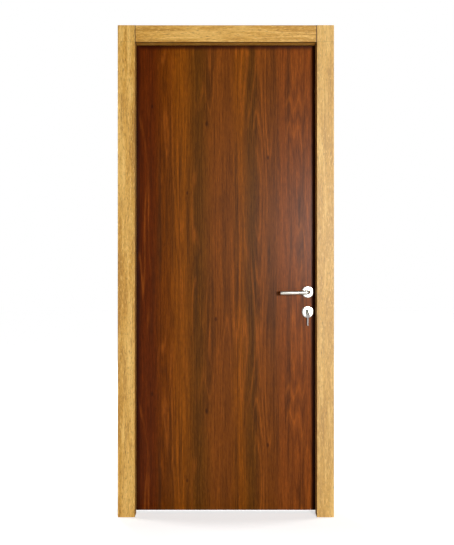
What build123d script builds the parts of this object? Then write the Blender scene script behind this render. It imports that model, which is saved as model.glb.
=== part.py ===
from build123d import *
import os

# An interior timber door set: a flush leaf hung in a rebated frame with flat casings.
# The origin lies on the wall face of the hinge jamb lining, at the floor and half way
# through the wall. X runs towards the lock, Y away from the push side, and Z up.
# All sizes are in millimetres.

# Leaf
leaf_width = 820.0
leaf_height = 2080.0
leaf_thickness = 40.0
skin_thickness = 3.0
stile_width = 35.0
lock_stile_width = 95.0
rail_height = 40.0

# Gaps round the leaf
floor_gap = 12.0
hinge_gap = 5.0
lock_gap = 6.5
top_gap = 5.0
shoulder_gap = 5.0

# Linings, which are rebated in one piece with the stop
wall_thickness = 90.0
lining_thickness = 22.0
stop_step = 17.5

# Casings, with a tongue that sits in a groove of the lining
casing_thickness = 16.0
casing_width = 75.0
head_casing_height = 73.0
back_casing_width = 60.0
back_casing_margin = 10.0
casing_round = 2.0
tongue_thickness = 5.0
tongue_depth = 11.0
tongue_inset = 6.0
groove_clearance = 0.3

# Seal in the stop
seal_inset = 11.0
seal_width = 8.0
seal_lip = 4.5
seal_round = 3.0
seal_hollow = 1.3
seal_stem_width = 3.0
seal_stem_depth = 7.0
seal_clearance = 0.2

# Hinges
hinge_height = 100.0
hinge_plate = 2.5
hinge_plate_depth = 32.0
hinge_knuckle_radius = 6.5
hinge_pin_radius = 3.0
hinge_pin_fit = 0.05
hinge_pin_cap_radius = 4.5
hinge_pin_cap = 2.0
hinge_knuckles = 5
hinge_knuckle_gap = 0.4
hinge_throw = 7.0
hinge_from_top = 200.0
hinge_from_bottom = 250.0
recess_clearance = 0.2

# Lock
backset = 45.0
spindle_height = 983.0
cylinder_drop = 85.0
case_length = 72.0
case_height = 190.0
case_thickness = 16.0
case_over_spindle = 45.0
case_clearance = 0.5
follower_bore_radius = 9.0
forend_thickness = 3.0
forend_width = 20.0
forend_height = 235.0
bolt_clearance = 0.3

# Latch bolt and dead bolt
latch_rise = 10.0
latch_height = 17.0
latch_thickness = 12.0
latch_out = 12.0
latch_tail = 17.0
latch_nose = 1.5
dead_drop = 50.0
dead_height = 30.0
dead_thickness = 10.0
dead_throw = 20.0
dead_tail = 28.0

# Strike plate
strike_thickness = 2.0
strike_height = 160.0
strike_front = 13.0
strike_lip_radius = 3.0
strike_lip_height = 40.0
strike_hole_clearance = 1.5
keep_depth = 1.5

# Roses
rose_radius = 26.0
rose_thickness = 8.0
rose_bevel = 1.2
key_rose_drop = 4.0
rose_clearance = 0.3

# Levers
lever_radius = 9.5
lever_reach = 124.0
lever_projection = 40.0
lever_bend = 15.0
lever_end_chamfer = 0.8
lever_droop = 1.4
lever_gap = 0.4
spigot_radius = 8.0
spigot_fit = 0.05
spindle_width = 8.0
spindle_clearance = 0.1
spindle_in_lever = 28.0
leaf_bore_radius = 11.0

# Lock cylinder
barrel_radius = 8.5
barrel_foot_radius = 5.0
barrel_height = 33.0
barrel_proud = 2.0
plug_radius = 6.5
plug_fit = 0.05
plug_length = 27.0
plug_proud = 0.4
plug_groove = 0.5
keyway_clearance = 0.15
keyway_depth = 12.0

# Keys and ring
bow_length = 21.0
bow_width = 20.0
bow_round = 8.0
bow_hole_radius = 3.0
bow_hole_inset = 5.5
key_thickness = 2.2
key_neck = 10.0
blade_width = 8.2
blade_length = 25.0
blade_tip = 3.0
key_cuts = (1.4, 2.3, 0.9, 1.8, 1.2)
key_cut_pitch = 4.0
key_cut_flat = 1.0
ring_wire_radius = 0.9
ring_radius = 9.1
ring_seat = 0.4
ring_hang = 1.6
ring_forward = 6.0
ring_turn = 12.0
spare_key_turn = 50.0

# Places that follow from the sizes, from the wall face of the hinge jamb
rebate_left = lining_thickness
leaf_left = rebate_left + hinge_gap
leaf_right = leaf_left + leaf_width
rebate_right = leaf_right + lock_gap
frame_width = rebate_right + lining_thickness
clear_left = rebate_left + stop_step

# Places from the floor
leaf_bottom = floor_gap
leaf_top = leaf_bottom + leaf_height
rebate_top = leaf_top + top_gap
clear_top = rebate_top - stop_step
frame_height = rebate_top + lining_thickness
casing_top = clear_top + head_casing_height
back_casing_top = rebate_top + back_casing_margin + back_casing_width
cylinder_height = spindle_height - cylinder_drop

# Places through the wall, the push side being at the negative end
wall_front = -wall_thickness / 2
wall_back = wall_thickness / 2
leaf_back = wall_back
leaf_front = leaf_back - leaf_thickness
leaf_middle = (leaf_front + leaf_back) / 2
shoulder = leaf_front - shoulder_gap
rose_front = leaf_front - rose_thickness
rose_back = leaf_back + rose_thickness

# The spindle and cylinder axis, and the hinge pins' axis
spindle_x = leaf_right - backset
pin_x = (rebate_left + leaf_left) / 2
pin_y = leaf_back + hinge_throw


def rect(a0, a1, b0, b1):
    """A rectangle between two pairs of local coordinates."""
    return Pos((a0 + a1) / 2, (b0 + b1) / 2) * Rectangle(a1 - a0, b1 - b0)


def upright(sketch, z0, z1):
    """Extrude a plan in X and Y from one height to another."""
    return extrude(Plane.XY.offset(z0) * sketch, amount=z1 - z0)


def through(sketch, y0, y1):
    """Extrude an elevation in X and Z from one depth in the wall to another."""
    face_plane = Plane(origin=(0, y1, 0), x_dir=(1, 0, 0), z_dir=(0, -1, 0))
    return extrude(face_plane * sketch, amount=y1 - y0)


def along(sketch, x0, x1):
    """Extrude a cross-section in Y and Z from one place along the wall to another."""
    return extrude(Plane.YZ.offset(x0) * sketch, amount=x1 - x0)


# A plan of the hinge jamb, in X and Y, is also the head's section, read downwards
# from the top of the frame. The lock jamb is the hinge jamb's mirror image.
head_plane = Plane(origin=(0, 0, frame_height), x_dir=(0, 0, -1), z_dir=(1, 0, 0))
mitre_plane = Plane(origin=(0, 0, frame_height), z_dir=(1, 0, 1))
middle_plane = Plane(origin=(frame_width / 2, 0, 0), z_dir=(1, 0, 0))


def other_side(piece):
    """The same piece on the lock side of the frame."""
    return mirror(piece, about=middle_plane)


def mitred_jamb(section):
    """A jamb of this section from the floor to the mitre at the head."""
    return split(upright(section, 0, frame_height), bisect_by=mitre_plane, keep=Keep.BOTTOM)


def mitred_head(section):
    """A head of this section, cut to a mitre at both ends."""
    bar = extrude(head_plane * section, amount=frame_width)
    bar = split(bar, bisect_by=mitre_plane, keep=Keep.TOP)
    return other_side(split(other_side(bar), bisect_by=mitre_plane, keep=Keep.TOP))


def lining_section():
    """The rebated board with its stop, the seal groove and a groove for each tongue."""
    board = rect(0, lining_thickness, wall_front, wall_back)
    stop = rect(0, lining_thickness + stop_step, wall_front, shoulder)
    groove_u = lining_thickness + seal_inset
    half = seal_stem_width / 2 + seal_clearance
    depth = seal_stem_depth + seal_clearance
    section = board + stop - rect(groove_u - half, groove_u + half, shoulder - depth, shoulder)
    u0 = tongue_inset - groove_clearance
    u1 = tongue_inset + tongue_thickness + groove_clearance
    deep = tongue_depth + groove_clearance
    section -= rect(u0, u1, wall_front, wall_front + deep)
    return section - rect(u0, u1, wall_back - deep, wall_back)


def seal_section():
    """A rubber bulb on a stem that is pressed into the groove of the stop."""
    u = lining_thickness + seal_inset
    bulb = rect(u - seal_width / 2, u + seal_width / 2, shoulder, shoulder + seal_lip)
    bulb = fillet(bulb.vertices().group_by(Axis.Y)[-1], seal_round)
    stem = rect(u - seal_stem_width / 2, u + seal_stem_width / 2, shoulder - seal_stem_depth, shoulder)
    return bulb + stem - Pos(u, shoulder + seal_lip / 2) * Circle(seal_hollow)


def casing_section(inner, width, side):
    """A flat casing with rounded front edges; side is -1 in front and 1 at the back."""
    face = wall_back * side
    outside = face + casing_thickness * side
    board = rect(inner - width, inner, min(face, outside), max(face, outside))
    edge = board.vertices().group_by(Axis.Y)[0 if side < 0 else -1]
    return fillet(edge, casing_round)


def tongue_section(side):
    """The tongue on the back of a casing."""
    face = wall_back * side
    end = face - tongue_depth * side
    return rect(tongue_inset, tongue_inset + tongue_thickness, min(face, end), max(face, end))


def jamb_casing(inner, width, top, tongue_top, side):
    """A jamb casing from the floor to the top of the head casing."""
    board = upright(casing_section(inner, width, side), 0, top)
    return board + upright(tongue_section(side), 0, tongue_top)


def head_casing(inner, height, side):
    """A head casing that is butted between the two jamb casings."""
    board = extrude(head_plane * casing_section(inner, height, side), amount=frame_width)
    board += extrude(head_plane * tongue_section(side), amount=frame_width)
    tall = frame_height + casing_width
    jamb_room = through(rect(-frame_width, inner, -tall, tall), -wall_thickness, wall_thickness)
    return board - jamb_room - other_side(jamb_room)


def hinge_bottoms():
    """The height of the lower end of each hinge, from the lowest to the highest."""
    low = leaf_bottom + hinge_from_bottom - hinge_height / 2
    high = leaf_top - hinge_from_top - hinge_height / 2
    return {"bottom": low, "middle": (low + high) / 2, "top": high}


def knuckle_spans(bottom, first):
    """The heights of every other knuckle of a hinge, beginning at the given one."""
    pitch = (hinge_height + hinge_knuckle_gap) / hinge_knuckles
    for n in range(first, hinge_knuckles, 2):
        yield bottom + n * pitch, bottom + n * pitch + pitch - hinge_knuckle_gap


def hinge_leaf(plate_left, bottom, first):
    """A hinge plate that lies flush in its recess, with its own knuckles."""
    clear_of_knuckles = pin_y - hinge_knuckle_radius - hinge_knuckle_gap
    plate = rect(plate_left, plate_left + hinge_plate, wall_back - hinge_plate_depth, clear_of_knuckles)
    neck = rect(plate_left, plate_left + hinge_plate, clear_of_knuckles, pin_y)
    eye = Pos(pin_x, pin_y) * Circle(hinge_knuckle_radius)
    bore = Pos(pin_x, pin_y) * Circle(hinge_pin_radius + hinge_pin_fit)
    leaf = upright(plate, bottom, bottom + hinge_height)
    for z0, z1 in knuckle_spans(bottom, first):
        leaf += upright(neck + eye - bore, z0, z1)
    return leaf


def hinge_pin(bottom):
    """A plain pin with a button at each end."""
    pin = upright(Pos(pin_x, pin_y) * Circle(hinge_pin_radius), bottom, bottom + hinge_height)
    button = Pos(pin_x, pin_y) * Circle(hinge_pin_cap_radius)
    low = upright(button, bottom - hinge_pin_cap, bottom)
    high = upright(button, bottom + hinge_height, bottom + hinge_height + hinge_pin_cap)
    low = chamfer(low.edges().group_by(Axis.Z)[0], hinge_pin_cap / 2)
    high = chamfer(high.edges().group_by(Axis.Z)[-1], hinge_pin_cap / 2)
    return pin + low + high


def hinge_recesses(plate_left):
    """The recesses that the three hinge plates of one side lie in."""
    front = wall_back - hinge_plate_depth - recess_clearance
    plan = rect(plate_left, plate_left + hinge_plate, front, wall_back)
    cuts = [
        upright(plan, bottom - recess_clearance, bottom + hinge_height + recess_clearance)
        for bottom in hinge_bottoms().values()
    ]
    return Part() + cuts


def bolt_section(height, thickness, z, clearance=0.0):
    """The section of a bolt in Y and Z, grown by a clearance."""
    y = thickness / 2 + clearance
    half = height / 2 + clearance
    return rect(leaf_middle - y, leaf_middle + y, z - half, z + half)


latch_z = spindle_height + latch_rise
dead_z = spindle_height - dead_drop


def latch_bolt():
    """The latch, with its nose bevelled on the side that meets the strike first."""
    tip = leaf_right + latch_out
    left = leaf_right - forend_thickness - latch_tail
    front = leaf_middle - latch_thickness / 2
    back = leaf_middle + latch_thickness / 2
    nose = latch_thickness - latch_nose
    plan = make_face(Polyline(
        (left, front), (tip - nose, front), (tip, back - latch_nose), (tip, back), (left, back),
        close=True,
    ))
    return upright(plan, latch_z - latch_height / 2, latch_z + latch_height / 2)


def dead_bolt():
    """The dead bolt, drawn in until its end is flush with the forend."""
    left = leaf_right - dead_tail
    bolt = along(bolt_section(dead_height, dead_thickness, dead_z), left, leaf_right)
    return chamfer(bolt.faces().sort_by(Axis.X)[-1].edges(), latch_nose / 2)


def barrel_section(clearance=0.0):
    """The keyhole-shaped outline of the lock cylinder, about the plug's axis."""
    foot = barrel_height - barrel_radius - barrel_foot_radius
    half = barrel_foot_radius + clearance
    outline = Circle(barrel_radius + clearance) + rect(-half, half, -foot, 0)
    outline += Pos(0, -foot) * Circle(half)
    return Pos(spindle_x, cylinder_height) * outline


def lock_case():
    """The mortise case, with ways through it for the spindle, the cylinder and the bolts."""
    right = leaf_right - forend_thickness
    top = spindle_height + case_over_spindle
    face = rect(right - case_length, right, top - case_height, top)
    face -= Pos(spindle_x, spindle_height) * Circle(follower_bore_radius)
    face -= barrel_section(rose_clearance)
    case = through(face, leaf_middle - case_thickness / 2, leaf_middle + case_thickness / 2)
    latch_way = bolt_section(latch_height, latch_thickness, latch_z, bolt_clearance)
    case -= along(latch_way, right - latch_tail - latch_out - bolt_clearance, right)
    dead_way = bolt_section(dead_height, dead_thickness, dead_z, bolt_clearance)
    return case - along(dead_way, leaf_right - dead_tail - bolt_clearance, right)


def forend():
    """The plate on the edge of the leaf that the bolts come through."""
    middle = spindle_height + case_over_spindle - case_height / 2
    half = forend_height / 2
    face = rect(leaf_middle - forend_width / 2, leaf_middle + forend_width / 2, middle - half, middle + half)
    face -= bolt_section(latch_height, latch_thickness, latch_z, bolt_clearance)
    face -= bolt_section(dead_height, dead_thickness, dead_z, bolt_clearance)
    return along(face, leaf_right - forend_thickness, leaf_right)


def lock_mortise():
    """The hollow in the lock stile for the case and its forend."""
    right = leaf_right - forend_thickness
    top = spindle_height + case_over_spindle + case_clearance
    bottom = top - case_height - 2 * case_clearance
    half = case_thickness / 2 + case_clearance
    left = right - case_length - case_clearance
    hollow = along(rect(leaf_middle - half, leaf_middle + half, bottom, top), left, right)
    middle = (top + bottom) / 2
    tall = forend_height / 2 + recess_clearance
    wide = forend_width / 2 + recess_clearance
    plate = rect(leaf_middle - wide, leaf_middle + wide, middle - tall, middle + tall)
    return hollow + along(plate, right, leaf_right)


def furniture_bores():
    """The bores through the leaf for the spindle and the lock cylinder."""
    holes = Pos(spindle_x, spindle_height) * Circle(leaf_bore_radius)
    holes += barrel_section(case_clearance + rose_clearance)
    return through(holes, leaf_front, leaf_back)


def strike_plate():
    """The plate on the lock jamb, with a hole for each bolt and a bent lip for the latch."""
    right = rebate_right + strike_thickness
    low, high = strike_heights()
    face = rect(strike_front, wall_back, low, high)
    plate = along(face - strike_holes(), rebate_right, right)
    lip_low, lip_high = latch_z - strike_lip_height / 2, latch_z + strike_lip_height / 2
    bend = Pos(rebate_right + strike_lip_radius, wall_back) * Circle(strike_lip_radius)
    bend -= Pos(rebate_right + strike_lip_radius, wall_back) * Circle(strike_lip_radius - strike_thickness)
    quarter = rect(rebate_right, rebate_right + strike_lip_radius, wall_back, wall_back + strike_lip_radius)
    return plate + upright(bend & quarter, lip_low, lip_high)


def strike_heights():
    """The lower and upper end of the strike plate, which covers both bolts."""
    middle = (latch_z + dead_z) / 2
    return middle - strike_height / 2, middle + strike_height / 2


def strike_holes():
    """The holes in the strike plate, in Y and Z."""
    latch_hole = bolt_section(latch_height, latch_thickness, latch_z, strike_hole_clearance)
    return latch_hole + bolt_section(dead_height, dead_thickness, dead_z, strike_hole_clearance)


def strike_cuts():
    """The recess for the strike plate and the pockets behind its holes."""
    low, high = strike_heights()
    plate = rect(strike_front - recess_clearance, wall_back, low - recess_clearance, high + recess_clearance)
    cuts = along(plate, rebate_right, rebate_right + strike_thickness)
    latch_hole = bolt_section(latch_height, latch_thickness, latch_z, strike_hole_clearance)
    cuts += along(latch_hole, rebate_right, leaf_right + latch_out + keep_depth)
    dead_hole = bolt_section(dead_height, dead_thickness, dead_z, strike_hole_clearance)
    return cuts + along(dead_hole, rebate_right, leaf_right + dead_throw + keep_depth)


def leaf_panel(y0, y1):
    """A full-size sheet of the leaf with the bores for the lock furniture."""
    sheet = through(rect(leaf_left, leaf_right, leaf_bottom, leaf_top), y0, y1)
    return sheet - furniture_bores()


def rose(x, z, hole, side):
    """A round rose on the front or back of the leaf, with a hole of the given outline."""
    y0, y1 = (rose_front, leaf_front) if side < 0 else (leaf_back, rose_back)
    disc = through(Pos(x, z) * Circle(rose_radius), y0, y1)
    disc = chamfer(disc.edges().group_by(Axis.Y)[0 if side < 0 else -1], rose_bevel)
    return disc - through(hole, y0, y1)


def lever():
    """The front lever about its own spindle axis: spigot, neck, bend and straight arm."""
    neck = rose_front - lever_gap
    arm = rose_front - lever_projection
    path = FilletPolyline((0, neck, 0), (0, arm, 0), (-lever_reach, arm, 0), radius=lever_bend)
    tube = sweep(Plane(origin=(0, neck, 0), z_dir=(0, -1, 0)) * Circle(lever_radius), path=path)
    tube = chamfer(tube.faces().sort_by(Axis.X)[0].edges(), lever_end_chamfer)
    tube += through(Circle(spigot_radius), neck, leaf_front)
    socket = spindle_width + 2 * spindle_clearance
    return tube - through(Rectangle(socket, socket), neck - spindle_in_lever, leaf_front)


def on_spindle(piece):
    """Put a piece made about the spindle's axis in its place, with the levers' droop."""
    return Pos(spindle_x, 0, spindle_height) * Rot(0, -lever_droop, 0) * piece


def other_face(piece):
    """The same piece on the other face of the leaf."""
    return mirror(piece, about=Plane(origin=(0, leaf_middle, 0), z_dir=(0, 1, 0)))


def key_cut(depth):
    """One cut in the lower edge of a key's blade, with sides that slope at 45 degrees."""
    flat = key_cut_flat / 2
    wide = flat + depth
    return make_face(Polyline((-wide, 0), (-flat, depth), (flat, depth), (wide, 0), close=True))


def flat_key():
    """A flat key along Y, bow first, in its own frame with the bow hole at the origin."""
    back = bow_length - bow_hole_inset
    tip = back + key_neck + blade_length
    half = blade_width / 2
    bow = Pos((back - bow_hole_inset) / 2, 0) * RectangleRounded(bow_length, bow_width, bow_round)
    blade = make_face(Polyline(
        (back - bow_round, -half), (tip - blade_tip, -half), (tip, 0), (tip - blade_tip, half),
        (back - bow_round, half), close=True,
    ))
    outline = bow + blade - Circle(bow_hole_radius)
    for n, depth in enumerate(key_cuts, start=1):
        outline -= Pos(tip - blade_tip - n * key_cut_pitch, -half) * key_cut(depth)
    return extrude(Plane.YZ * outline, amount=key_thickness / 2, both=True)


# The ring hangs on the neck of the key in the lock, just clear of its corners, so it
# stays down while the key turns in it.
plug_face = rose_front - barrel_proud - plug_proud
bow_hole_y = plug_face - key_neck - bow_length + bow_hole_inset
ring_y = plug_face - ring_forward
neck_corner = (Vector(blade_width, key_thickness) / 2).length
ring_top = cylinder_height + neck_corner + ring_seat + ring_wire_radius
spare_hole = ring_top - 2 * ring_radius - ring_hang


def key_in_lock():
    """The key that stands in the plug with its bow upright."""
    return Pos(spindle_x, bow_hole_y, cylinder_height) * flat_key()


def spare_key():
    """The second key, hung from the ring with its blade down."""
    hanging = Rot(0, 0, spare_key_turn) * Rot(-90, 0, 0) * flat_key()
    return Pos(spindle_x, ring_y, spare_hole) * hanging


def key_ring():
    """A round wire ring round the neck of one key and through the bow of the other."""
    loop = Rot(90, 0, 0) * Torus(ring_radius, ring_wire_radius)
    return Pos(spindle_x, ring_y, ring_top - ring_radius) * Rot(0, 0, ring_turn) * loop


def keyway():
    """The slot that a key goes into, about the plug's axis."""
    return Rectangle(key_thickness + 2 * keyway_clearance, blade_width + 2 * keyway_clearance)


def cylinder_body():
    """The double cylinder, bored for the front plug, with the back plug's face cut in it."""
    y0 = rose_front - barrel_proud
    y1 = rose_back + barrel_proud
    axis = Pos(spindle_x, cylinder_height)
    body = through(barrel_section(), y0, y1)
    body -= through(axis * Circle(plug_radius + plug_fit), y0, y0 + plug_length)
    groove = Circle(plug_radius + plug_groove) - Circle(plug_radius)
    body -= through(axis * groove, y1 - plug_groove, y1)
    return body - through(axis * keyway(), y1 - keyway_depth, y1)


def cylinder_plug():
    """The plug with its keyway."""
    y0 = rose_front - barrel_proud
    outline = Pos(spindle_x, cylinder_height) * (Circle(plug_radius) - keyway())
    return through(outline, y0 - plug_proud, y0 + plug_length - plug_proud)


def linings():
    """The three linings with their recesses."""
    section = lining_section()
    jamb = mitred_jamb(section)
    return {
        "hinge_jamb_lining": jamb - hinge_recesses(rebate_left - hinge_plate),
        "lock_jamb_lining": other_side(jamb) - strike_cuts(),
        "head_lining": mitred_head(section),
    }


def seals():
    """The rubber seal round the stop, mitred with the linings."""
    jamb = mitred_jamb(seal_section())
    return {
        "hinge_jamb_seal": jamb,
        "lock_jamb_seal": other_side(jamb),
        "head_seal": mitred_head(seal_section()),
    }


def casings():
    """The casings on both faces of the wall."""
    back_inner = lining_thickness - back_casing_margin
    front = jamb_casing(clear_left, casing_width, casing_top, clear_top, -1)
    back = jamb_casing(back_inner, back_casing_width, back_casing_top, clear_top, 1)
    return {
        "hinge_casing_front": front,
        "lock_casing_front": other_side(front),
        "head_casing_front": head_casing(clear_left, head_casing_height, -1),
        "hinge_casing_back": back,
        "lock_casing_back": other_side(back),
        "head_casing_back": head_casing(back_inner, back_casing_width, 1),
    }


def hinges():
    """The plates and pins of the three hinges."""
    pieces = {}
    for name, bottom in hinge_bottoms().items():
        pieces[f"{name}_hinge_frame_leaf"] = hinge_leaf(rebate_left - hinge_plate, bottom, 0)
        pieces[f"{name}_hinge_door_leaf"] = hinge_leaf(leaf_left, bottom, 1)
        pieces[f"{name}_hinge_pin"] = hinge_pin(bottom)
    return pieces


def leaf():
    """The leaf's skins, its timber edge frame and the board core."""
    inner_front = leaf_front + skin_thickness
    inner_back = leaf_back - skin_thickness
    stile_end = leaf_left + stile_width
    lock_start = leaf_right - lock_stile_width
    rail_low = leaf_bottom + rail_height
    rail_high = leaf_top - rail_height
    recesses = hinge_recesses(leaf_left)
    plates = {
        "hinge_stile": rect(leaf_left, stile_end, leaf_bottom, leaf_top),
        "lock_stile": rect(lock_start, leaf_right, leaf_bottom, leaf_top),
        "top_rail": rect(stile_end, lock_start, rail_high, leaf_top),
        "bottom_rail": rect(stile_end, lock_start, leaf_bottom, rail_low),
        "leaf_core": rect(stile_end, lock_start, rail_low, rail_high),
    }
    pieces = {name: through(plan, inner_front, inner_back) for name, plan in plates.items()}
    pieces["hinge_stile"] -= recesses
    pieces["lock_stile"] -= lock_mortise() + furniture_bores()
    pieces["front_skin"] = leaf_panel(leaf_front, inner_front)
    pieces["back_skin"] = leaf_panel(inner_back, leaf_back) - recesses
    return pieces


def lock():
    """The mortise lock with its bolts."""
    return {
        "lock_case": lock_case(),
        "lock_forend": forend(),
        "latch_bolt": latch_bolt(),
        "dead_bolt": dead_bolt(),
        "strike_plate": strike_plate(),
    }


def furniture():
    """The roses, levers and spindle."""
    bearing = Pos(spindle_x, spindle_height) * Circle(spigot_radius + spigot_fit)
    barrel_hole = barrel_section(rose_clearance)
    key_rose_height = cylinder_height - key_rose_drop
    front_lever = lever()
    bar = spindle_width
    ends = rose_front - lever_gap - spindle_in_lever, rose_back + lever_gap + spindle_in_lever
    return {
        "front_lever_rose": rose(spindle_x, spindle_height, bearing, -1),
        "back_lever_rose": rose(spindle_x, spindle_height, bearing, 1),
        "front_key_rose": rose(spindle_x, key_rose_height, barrel_hole, -1),
        "back_key_rose": rose(spindle_x, key_rose_height, barrel_hole, 1),
        "spindle": on_spindle(through(Rectangle(bar, bar), *ends)),
        "front_lever": on_spindle(front_lever),
        "back_lever": on_spindle(other_face(front_lever)),
    }


def keys():
    """The cylinder, its plug, both keys and their ring."""
    return {
        "cylinder_body": cylinder_body(),
        "cylinder_plug": cylinder_plug(),
        "key_in_lock": key_in_lock(),
        "key_ring": key_ring(),
        "spare_key": spare_key(),
    }


def main():
    """Write one file for each piece."""
    os.makedirs("parts", exist_ok=True)
    for group in (linings, seals, casings, hinges, leaf, lock, furniture, keys):
        for name, piece in group().items():
            export_step(piece, f"parts/{name}.step")


if __name__ == "__main__":
    main()
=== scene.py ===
import logging
import math
from dataclasses import dataclass
from enum import Enum
from typing import Sequence, Union

import bpy
from mathutils import Matrix, Vector


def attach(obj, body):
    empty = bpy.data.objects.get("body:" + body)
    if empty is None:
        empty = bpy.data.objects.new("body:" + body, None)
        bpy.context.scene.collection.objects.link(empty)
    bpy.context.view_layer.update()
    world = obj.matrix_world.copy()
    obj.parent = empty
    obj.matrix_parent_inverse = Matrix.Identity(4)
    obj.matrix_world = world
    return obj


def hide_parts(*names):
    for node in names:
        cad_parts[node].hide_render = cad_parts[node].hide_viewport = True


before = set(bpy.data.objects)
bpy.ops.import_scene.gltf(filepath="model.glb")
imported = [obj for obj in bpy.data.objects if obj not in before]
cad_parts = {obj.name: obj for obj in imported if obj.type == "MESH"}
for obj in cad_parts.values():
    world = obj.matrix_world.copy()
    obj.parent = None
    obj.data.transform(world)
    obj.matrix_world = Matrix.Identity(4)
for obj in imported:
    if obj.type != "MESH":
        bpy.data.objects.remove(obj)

# Lengths are in metres. X runs from the hinges to the lock, Y from the push side to the pull side, Z up.

Colour = tuple[float, float, float]
Point = tuple[float, float, float]
Pair = tuple[float, float]
Stop = tuple[float, Colour]
Piece = bpy.types.Object
Socket = bpy.types.NodeSocket
Feed = Union[Socket, float, tuple]

WELD = 0.000005
ORIGIN = (0.0, 0.0, 0.0)

log = logging.getLogger("door")


def tone(red: int, green: int, blue: int) -> Colour:
    """Turn a colour as a painter names it, 0 to 255, into the light that it sends back.

    Args:
        red: share of red.
        green: share of green.
        blue: share of blue.

    Returns:
        The same colour in linear light.
    """
    shares = []
    for part in (red, green, blue):
        share = part / 255
        shares.append(share / 12.92 if share <= 0.04045 else ((share + 0.055) / 1.055) ** 2.4)
    return (shares[0], shares[1], shares[2])


class Grain(Enum):
    """Which way the grain runs along a board."""

    UPRIGHT = "upright"
    LEVEL = "level"


class Wood(Enum):
    """The tones of the strips in the walnut print."""

    RED = tone(92, 36, 2)
    WARM = tone(110, 53, 2)
    AMBER = tone(134, 71, 7)
    SMOKY = tone(98, 55, 8)
    BROWN = tone(115, 60, 13)
    CHESTNUT = tone(124, 65, 14)
    ROSY = tone(129, 65, 17)


class Between(Enum):
    """How a row of stops passes from one colour to the next."""

    EVENLY = "LINEAR"
    SOFTLY = "EASE"


class Facing(Enum):
    """Which way a screw head looks, as a turn about the upright axis from the push side."""

    TO_LOCK = math.pi / 2
    TO_HINGES = -math.pi / 2


class Side(Enum):
    """Which face of the leaf a piece is on, as a turn about the level axis from the push side."""

    PUSH = 0.0
    PULL = math.pi


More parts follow.
